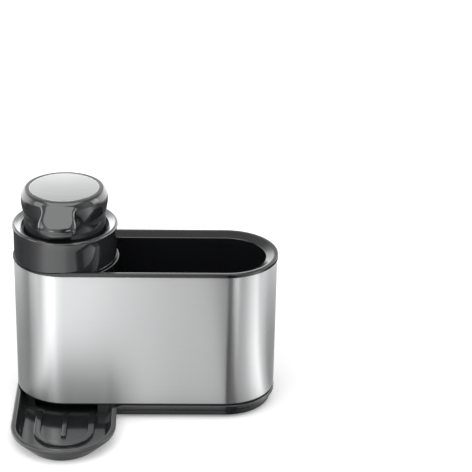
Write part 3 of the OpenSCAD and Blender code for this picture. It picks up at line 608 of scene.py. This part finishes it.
# The well's wall, and the narrow step that stands out from it towards the compartment.
well_low = tub_floor - 1 * mm
well = turned("bottle_well", rounded([
    (well_r, well_low), (well_out_r, well_low), (well_out_r, lip_top, 0.3 * mm),
    (well_r, lip_top, 0.5 * mm)], 3, True))
step_low, step_top, step_r, step_half_turn = lip_top - 3.5 * mm, lip_top - 1.5 * mm, well_out_r + 2.9 * mm, 50
step_side = rounded([(well_out_r - 0.5 * mm, step_low), (step_r, step_low, 0.3 * mm), (step_r, step_top, 0.5 * mm),
                     (well_out_r - 0.5 * mm, step_top)], 3, True)
step_start = math.radians(step_half_turn)
step = drawn("well_step", [(pump_x + r * math.cos(step_start), centre_y - r * math.sin(step_start), z)
                           for r, z in step_side])
spun(48, -2 * step_half_turn, pump_x, centre_y)
close_seams()
boss_r, boss_top, boss_y = 3.1 * mm, insert_low + 12 * mm, 34.5 * mm
boss_side = rounded([(0, insert_low), (boss_r, insert_low), (boss_r, boss_top, 0.4 * mm), (0, boss_top)], 3)
bosses = [turned("boss", boss_side, x, y, 32) for x in (pump_x + well_out_r + 12 * mm, far_x - 4 * mm)
          for y in (centre_y - boss_y, centre_y + boss_y)]
insert = smoothed(joined("compartment_insert", insert, well, step, *bosses))
insert.data.materials.append(moulded("insert_plastic", (0.008, 0.0085, 0.0095), 0.16, 0.01, 0.6))
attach(insert, "caddy")
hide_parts("caddy_insert")


# The steel sleeve: brushed stainless sheet, bent to the outline and welded at the back, its edges deburred.
# The brush runs round it, so its grain is level and its reflections spread up and down.
steel_t = 0.6 * mm
sleeve = swept("brushed_sleeve", rounded([
    (steel_r - steel_t, steel_low, 0.15 * mm), (steel_r, steel_low, 0.25 * mm), (steel_r, steel_top, 0.25 * mm),
    (steel_r - steel_t, steel_top, 0.15 * mm)], 3, True))


def brushed(name, colour, roughness, scale, turn, streaks, anisotropy, bump):
    """Brushed stainless: long fine scratches that vary its gloss, its tone and its surface.
    They are as fine as the scale is large, and turn sets which way its highlights spread."""
    finish = Finish(name, Metallic=1, Anisotropic=anisotropy, Anisotropic_Rotation=turn)
    place = finish.place(scale)
    scratch, broad = finish.noise(place, 1, 4, 0.65), finish.noise(place, 0.12)
    finish.feed(Base_Color=finish.blend(scratch, toned(colour, 0.9), toned(colour, 1.08)),
                Roughness=roughness + (scratch - 0.5) * streaks + (broad - 0.5) * 0.06,
                Normal=finish.bump(scratch, bump, 0.05 * mm))
    return finish.material


smoothed(sleeve)
sleeve.data.materials.append(brushed("brushed_steel", (0.68, 0.685, 0.69), 0.31, (14, 14, 5200), 0.25, 0.12, 1, 0.14))
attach(sleeve, "caddy")
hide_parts("steel_sleeve")


# The sleeve ring and its screws: a black moulded ring closes the steel's lower edge, and four steel screws
# through its web pull it up against the insert. Both keep the shape that the CAD gives them.
def dress(names, material):
    """Gives CAD nodes a material."""
    for name in names:
        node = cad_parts[name]
        node.data.materials.clear()
        node.data.materials.append(material)


def mottled(name, scale, low, high, roughness, spread, **sockets):
    """A plain material whose tone and gloss drift a little from place to place."""
    finish = Finish(name, **sockets)
    drift = finish.noise(finish.place(), scale, 3)
    finish.feed(Base_Color=finish.blend(drift, low, high), Roughness=roughness + drift * spread)
    return finish.material


dress(["sleeve_ring"], moulded("ring_plastic", (0.014, 0.015, 0.016), 0.4))
screw_steel = mottled("screw_steel", 1500, (0.5, 0.51, 0.52, 1), (0.68, 0.69, 0.7, 1), 0.2, 0.25, Metallic=1)
dress(["ring_screws"], screw_steel)


# The soap bottle: blow-moulded dark grey plastic, glossy outside, with a stiff head that flares to the lid.
# It stands in the insert's well and its head rests on the well's lip.
lowest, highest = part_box("soap_bottle")
bottle_low, bottle_top = lowest.z, highest.z
shoulder = lip_top + 0.3 * mm
bottle_r, bottle_in_r, band_in_r = 36.6 * mm, 34.6 * mm, 37.2 * mm
hollow_r, hollow = bottle_r - 11 * mm, bottle_low + 1.2 * mm
bottle_floor = bottle_low + 3.2 * mm
flare_w, flare_h = 0.9 * mm, 6 * mm
flare = [(band_r + flare_w * s * s, bottle_top - flare_h * (1 - s)) for s in [i / 10 for i in range(11)]]
bottle_outside = rounded([
    (0, hollow), (hollow_r, hollow, 1 * mm), (hollow_r + 1.2 * mm, bottle_low, 0.5 * mm),
    (bottle_r, bottle_low, 5 * mm), (bottle_r, shoulder, 0.5 * mm), (band_r, shoulder, 0.4 * mm)], 6)
bottle_inside = rounded([
    (band_in_r, bottle_top), (band_in_r, shoulder + 4.6 * mm, 1 * mm), (bottle_in_r, shoulder - 2 * mm, 1 * mm),
    (bottle_in_r, bottle_floor, 3 * mm), (0, bottle_floor)], 5)
bottle = turned("soap_bottle_shell", bottle_outside + flare + bottle_inside)
smoothed(bottle)
bottle.data.materials.append(moulded("bottle_plastic", (0.02, 0.021, 0.023), 0.13, 0.008, 0.85))
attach(bottle, "bottle")
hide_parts("soap_bottle")


# The pump's lid: a glossy moulding with a dished rim, a well that the head sinks into, and a plug in the
# bottle's mouth. A cord seal sits in the plug's groove, and the barrel hangs through the hole in its floor.
# The dish is bright plated.
lowest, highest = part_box("pump_lid")
lid_under, lid_top = lowest.z, highest.z
lid_r = pump_x - lowest.x
lid_low = lid_top - 2 * mm
open_r, throat_r, lid_wall = 33.8 * mm, 33.4 * mm, 1.6 * mm
well_floor, dish = lid_under + lid_wall, lid_top - 1 * mm
plug_r, plug_low, barrel_hole = 36.9 * mm, lid_low - 9 * mm, 7.5 * mm
seal_at, seal_half = lid_low - 4.5 * mm, 0.95 * mm
collar_r, collar_in_r, collar_top = 12.7 * mm, 11.1 * mm, well_floor + 1.8 * mm
lid = turned("pump_lid_rim", rounded([
    (barrel_hole, lid_under), (throat_r + lid_wall, lid_under, 1 * mm), (throat_r + lid_wall, plug_low),
    (plug_r, plug_low, 0.5 * mm), (plug_r, seal_at - seal_half, 0.1 * mm), (plug_r - seal_half, seal_at, 0.5 * mm),
    (plug_r, seal_at + seal_half, 0.1 * mm), (plug_r, lid_low), (lid_r, lid_low, 0.3 * mm),
    (lid_r, lid_top, 1.5 * mm), (lid_r - 2.2 * mm, lid_top - 0.1 * mm, 1 * mm), (lid_r - 4.6 * mm, dish, 2.4 * mm),
    (open_r, dish - 1.2 * mm, 0.4 * mm), (throat_r, well_floor, 1.2 * mm),
    (collar_r, well_floor, 0.3 * mm), (collar_r, collar_top, 0.2 * mm), (collar_in_r, collar_top, 0.2 * mm),
    (collar_in_r, well_floor), (barrel_hole, well_floor)], 5, True))


def from_pump_axis(finish, spot):
    """How far a spot is from the pump's axis, and its height."""
    east, north, height = finish.axes(spot)
    return (east * east + north * north) ** 0.5, height


lid_finish = Finish("lid_plastic", IOR=1.5, Coat_Weight=1, Coat_Roughness=0.05)
spot = lid_finish.place(at=(-pump_x, -centre_y, 0))
out, height = from_pump_axis(lid_finish, spot)
# The plating covers the dish, from the well's edge to just inside the rim's.
plated = (out > open_r - 0.1 * mm) * (out < lid_r - 1.4 * mm) * (height > dish - 1.3 * mm)
cloud = lid_finish.noise(spot, 60, 3)
lid_black = lid_finish.blend(cloud, (0.021, 0.022, 0.024, 1), (0.027, 0.028, 0.03, 1))
lid_finish.feed(Base_Color=lid_finish.blend(plated, lid_black, (0.3, 0.303, 0.306, 1)),
                Metallic=plated, Roughness=0.08 + plated * 0.08 + cloud * 0.04)
smoothed(lid)
lid.data.materials.append(lid_finish.material)
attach(lid, "pump")
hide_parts("pump_lid")


# The pump's works: barrel, guide, cage, stem and dip tube in milky plastic, seals in silicone and a tougher
# white plastic, and two steel balls. They are turned and moulded parts, as the CAD has them.
milky = mottled("milky_plastic", 300, (0.74, 0.75, 0.76, 1), (0.86, 0.87, 0.87, 1), 0.24, 0.14, IOR=1.5,
                Subsurface_Weight=0.2, Subsurface_Radius=(0.4, 0.4, 0.4), Subsurface_Scale=2 * mm)
silicone = mottled("silicone", 500, (0.26, 0.27, 0.28, 1), (0.36, 0.37, 0.38, 1), 0.42, 0.2, IOR=1.41)
seal_plastic = mottled("seal_plastic", 400, (0.8, 0.8, 0.79, 1), (0.9, 0.9, 0.89, 1), 0.3, 0.15, IOR=1.5)
dress(["pump_barrel", "stem_guide", "ball_cage", "dip_tube", "piston_stem"], milky)
dress(["lid_seal", "barrel_washer", "nozzle_valve"], silicone)
dress(["piston_seal"], seal_plastic)
dress(["inlet_ball", "outlet_ball"], screw_steel)


# The return spring: stainless wire wound into a coil, between the cage and the piston. It is made
# anew from rings along its helix, as one rigid mesh on no body, though the real coil shortens as the head is pressed.
lowest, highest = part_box("return_spring")
wire_r, coil_turns, turn_steps, wire_sides = 0.45 * mm, 7, 24, 8
coil_r = (highest.x - lowest.x) / 2 - wire_r
coil_steps = coil_turns * turn_steps
rise = highest.z - lowest.z - 2 * wire_r


def wire_ring(i):
    """The wire's outline at one step along the coil."""
    turn_at = 2 * math.pi * i / turn_steps
    middle_z = lowest.z + wire_r + rise * i / coil_steps
    ring = []
    for k in range(wire_sides):
        b = 2 * math.pi * k / wire_sides
        r = coil_r + wire_r * math.cos(b)
        ring.append((pump_x + r * math.cos(turn_at), centre_y + r * math.sin(turn_at),
                     middle_z + wire_r * math.sin(b)))
    return ring


coil = loft("return_coil", [wire_ring(i) for i in range(coil_steps + 1)])
close_seams()
smoothed(coil, 60)
coil.data.materials.append(screw_steel)
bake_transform(coil)
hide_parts("return_spring")


# The pump's head: a glossy mushroom cap of dark grey ABS, turned and hollow, with the nose moulded on.
# The head core inside carries the soap to the nozzle, and the whole head turns on the stem.
lowest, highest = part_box("pump_head")
head_low, head_top = lowest.z, highest.z
head_r, head_h = 33.4 * mm, head_top - head_low
plate_r, seat = 27.6 * mm, head_top - 0.4 * mm
head_wall, roof_low, roof_r = 2 * mm, seat - 2 * mm, 24 * mm
# The cap's outline from its skirt up, as shares of its radius and its height.
shares = [(0.955, 0), (0.949, 0.16), (0.938, 0.3), (0.941, 0.38), (0.955, 0.45), (0.979, 0.555),
          (0.996, 0.66), (1, 0.75), (0.988, 0.85), (0.959, 0.93), (0.925, 0.978), (0.895, 0.997), (0.86, 1)]


def curve_through(points, per=6):
    """A smooth line through points: at each it runs as the line between its two neighbours does."""
    line = []
    for i in range(len(points) - 1):
        p = [Vector(points[max(0, min(len(points) - 1, i + k))]) for k in (-1, 0, 1, 2)]
        for step in range(per):
            t = step / per
            line.append(0.5 * ((2 * p[1]) + (p[2] - p[0]) * t + (2 * p[0] - 5 * p[1] + 4 * p[2] - p[3]) * t * t
                               + (3 * p[1] - p[0] - 3 * p[2] + p[3]) * t ** 3))
    return line + [Vector(points[-1])]


outer = curve_through([(r * head_r, head_low + z * head_h) for r, z in shares])
inner = [(0, roof_low), (roof_r, roof_low)]
inner += [(r * head_r - head_wall, head_low + z * head_h) for r, z in shares[8::-1]]
ledge = [(plate_r, head_top), (plate_r - 0.15 * mm, head_top - 0.15 * mm), (plate_r - 0.15 * mm, seat), (0, seat)]
cap = turned("cap", inner + [tuple(point) for point in outer] + ledge)

nose_turn = math.radians(5)
# The nose's sections from the cap to the lip: reach, top, bottom, half width and corner rounding, all in mm.
stations = [
    (20, 177, 170, 12.6, 1.6), (26, 179.6, 166, 13.2, 1.8), (28.8, 180.6, 163.8, 14.2, 1.9),
    (30.2, 180.6, 162.6, 14.3, 2), (31.3, 180.1, 161.8, 13.9, 2), (32.6, 179, 161.1, 13.2, 2),
    (34.2, 177.5, 160.5, 12.6, 2), (36.4, 175.4, 159.9, 12.4, 2), (38.6, 173.3, 159.5, 12.8, 2.1),
    (40.8, 171.2, 159, 13.5, 2.3), (42.6, 169.5, 158.6, 14.1, 2.9), (43.8, 168.4, 158.5, 14.4, 3.7),
    (44.6, 167.5, 158.8, 14.4, 4.1), (45.3, 166.5, 159.4, 14.1, 3.4), (45.8, 165.4, 160.2, 13.6, 2.5),
    (46.1, 164.2, 161.2, 12.8, 1.4), (46.2, 162.9, 162.3, 12, 0.2)]
# Its front bows back at the sides, growing to the lip, and its face turns from hollow to crowned, also in mm.
bow_half_w, bow_from, bow_run, front_bow, lip_bow = 14, 24, 20, 4.4, 0.9
crown_from, crown_run, face_hollow, face_swell = 31, 11, -2.3, 3.2
corner_cuts, wide_parts, side_parts = 5, 14, 4


def nose_ring(reach, top, bottom, half, corner):
    """One cross-section of the nose, in mm before its axis: rounded corners, a front that bows, and a face
    that is hollow near the cap and crowned at the lip."""
    edges = [(-half, bottom), (half, bottom), (half, top), (-half, top)]
    corners = rounded([(x, z, corner) for x, z in edges], corner_cuts, True)[:-1]
    points = []
    for i, point in enumerate(corners):
        points.append(point)
        edge, spot = divmod(i, corner_cuts + 1)
        if spot == corner_cuts:
            parts = side_parts if edge % 2 else wide_parts
            points += [point.lerp(corners[(i + 1) % len(corners)], k / parts) for k in range(1, parts)]
    grown = max(0, min(1, (reach - bow_from) / bow_run))
    crown = face_hollow + face_swell * max(0, min(1, (reach - crown_from) / crown_run))
    ring = []
    for x, z in points:
        out = (x / bow_half_w) ** 2
        up = (z - bottom) / (top - bottom)
        ring.append((x, -(reach - grown * front_bow * out), z + out * (up * crown + (1 - up) * lip_bow * grown)))
    return ring


def aimed(x, y, z):
    """A point of the nose, turned with it and set on the pump's axis."""
    east = x * math.cos(nose_turn) + y * math.sin(nose_turn)
    north = y * math.cos(nose_turn) - x * math.sin(nose_turn)
    return pump_x + east * mm, centre_y + north * mm, z * mm


nose = loft("nose", [[aimed(*point) for point in nose_ring(*station)] for station in stations])
close_seams()


def above_neck(finish):
    """The head's neck is left matt: 0 there, 1 on the cap and the nose."""
    neck_r, neck_top = 32.4 * mm, head_low + 0.5 * head_h
    out, height = from_pump_axis(finish, finish.place(at=(-pump_x, -centre_y, 0)))
    return ((out - neck_r) / (0.5 * mm)).held().most(((height - neck_top) / (3 * mm)).held())


head = smoothed(joined("pump_head_cap", cap, nose), 40)
head.data.materials.append(moulded("head_plastic", (0.016, 0.017, 0.019), 0.13, 0.006, 1, above_neck))
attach(head, "head")
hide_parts("pump_head")
dress(["head_core"], moulded("core_plastic", (0.02, 0.021, 0.022), 0.4))


# The head's steel disc: pressed from brushed sheet, faintly domed, its edge rolled down.
# It is glued into the ledge in the cap's top, with a fine groove round it.
lowest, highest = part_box("head_plate")
disc_r, disc_top, disc_low, dome = plate_r - 0.8 * mm, highest.z, lowest.z, 0.38 * mm
disc_foot = disc_r - 0.3 * mm
disc_edge = rounded([(disc_foot, disc_low), (disc_r, disc_low + 0.1 * mm), (disc_r, disc_top - 0.4 * mm, 0.25 * mm),
                     (disc_r * 0.97, disc_top - 0.36 * mm)])
disc_shares = (0.94, 0.88, 0.8, 0.7, 0.6, 0.5, 0.4, 0.3, 0.2, 0.1, 0)
disc_face = [(disc_r * share, disc_top - dome * share * share) for share in disc_shares]
disc = turned("steel_disc", [(0, disc_low)] + disc_edge + disc_face)
smoothed(disc)
disc.data.materials.append(brushed("disc_steel", (0.64, 0.644, 0.648), 0.26, (16, 4200, 16), 0.0, 0.04, 0.3, 0.02))
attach(disc, "head")
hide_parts("head_plate")
